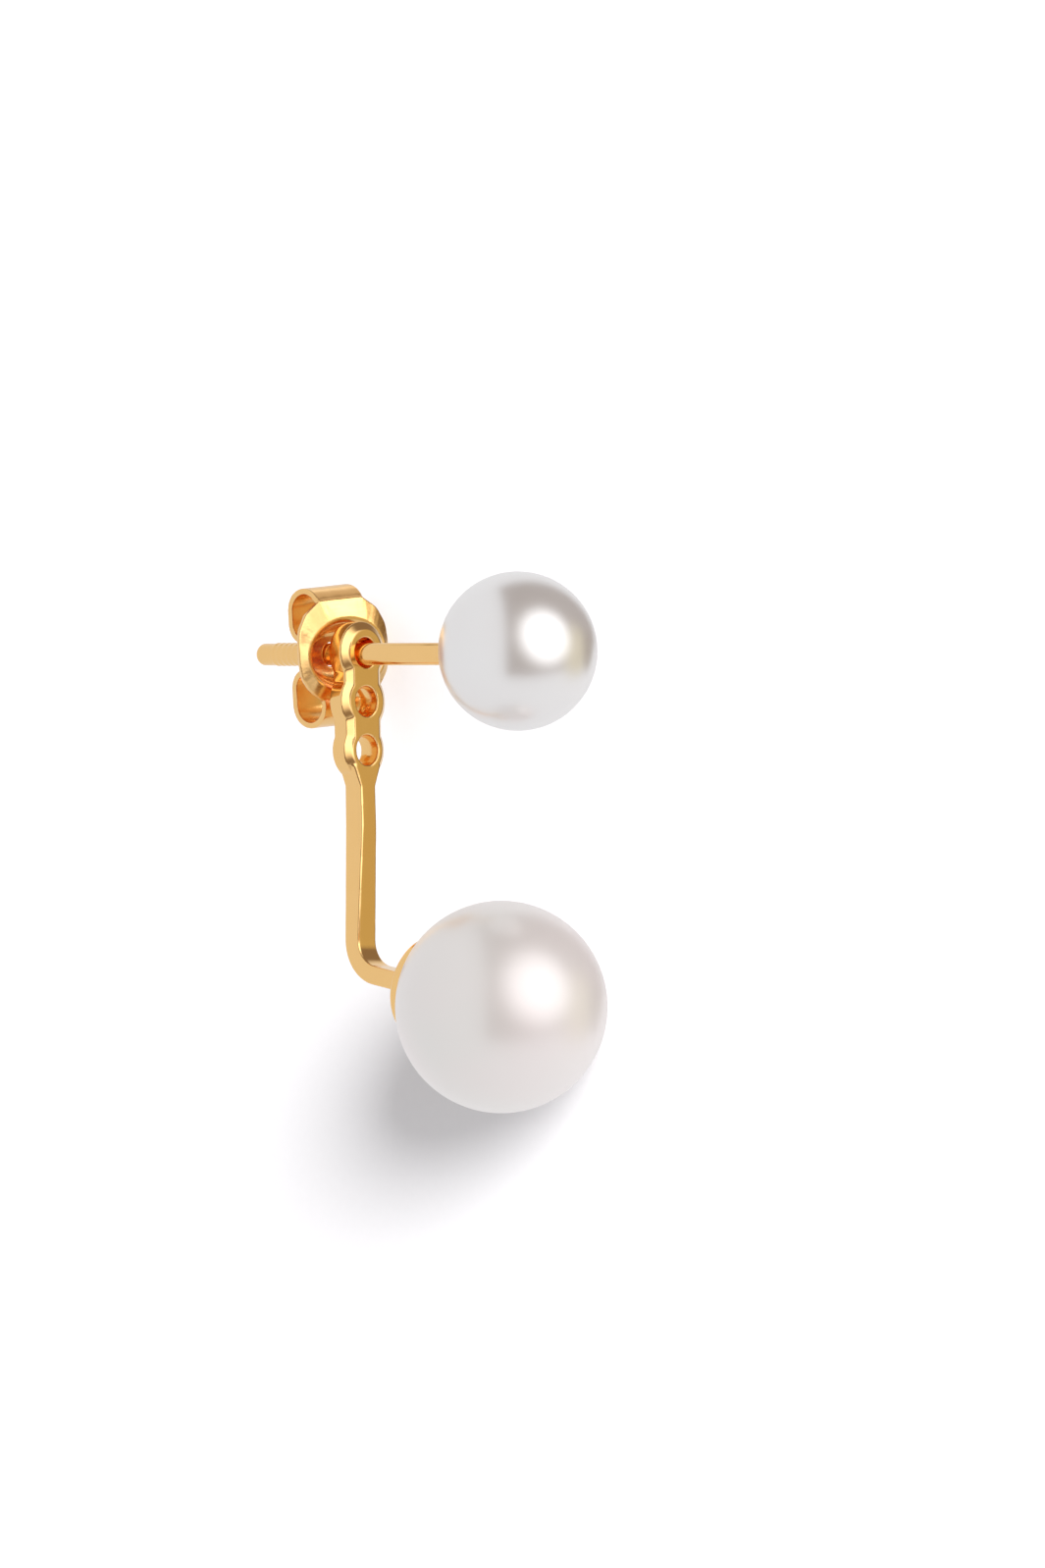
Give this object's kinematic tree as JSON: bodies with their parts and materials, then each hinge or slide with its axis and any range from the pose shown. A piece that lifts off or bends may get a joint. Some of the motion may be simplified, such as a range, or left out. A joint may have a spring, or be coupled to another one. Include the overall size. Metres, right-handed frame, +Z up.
{
  "type": "pearl stud earring",
  "caption": "Gold post earring with a pearl in front of the lobe, a butterfly back, and a swinging jacket behind the lobe that carries a larger pearl below it.",
  "frame": {"origin": "on the surface that the earring lies on, under the middle of its box", "axes": "+Z up from that surface; +Y from the large pearl to the post; +X forward along the post, which rises towards the small pearl by 3.6 degrees"},
  "size_m": [0.0166, 0.0204, 0.008],
  "materials": {
    "gold": "polished yellow gold plate over silver",
    "pearl": "nacre: white pearl with a soft satin lustre"
  },
  "bodies": {
    "stud": {"stud_pearl": "pearl", "ear_post": "gold"},
    "jacket": {"ear_jacket": "gold", "jacket_pearl": "pearl"},
    "butterfly": {"butterfly_back": "gold"}
  },
  "joints": [
    {"name": "jacket_swing", "type": "hinge", "parent": "stud", "child": "jacket", "pos_m": [-0.00275, 0.00707, 0.0025], "axis": [0.9981, 0, 0.0624], "continuous": true},
    {"name": "butterfly_slide", "type": "slide", "parent": "stud", "child": "butterfly", "axis": [-0.9981, 0, -0.0624], "range_m": [0, 0.0055]}
  ]
}
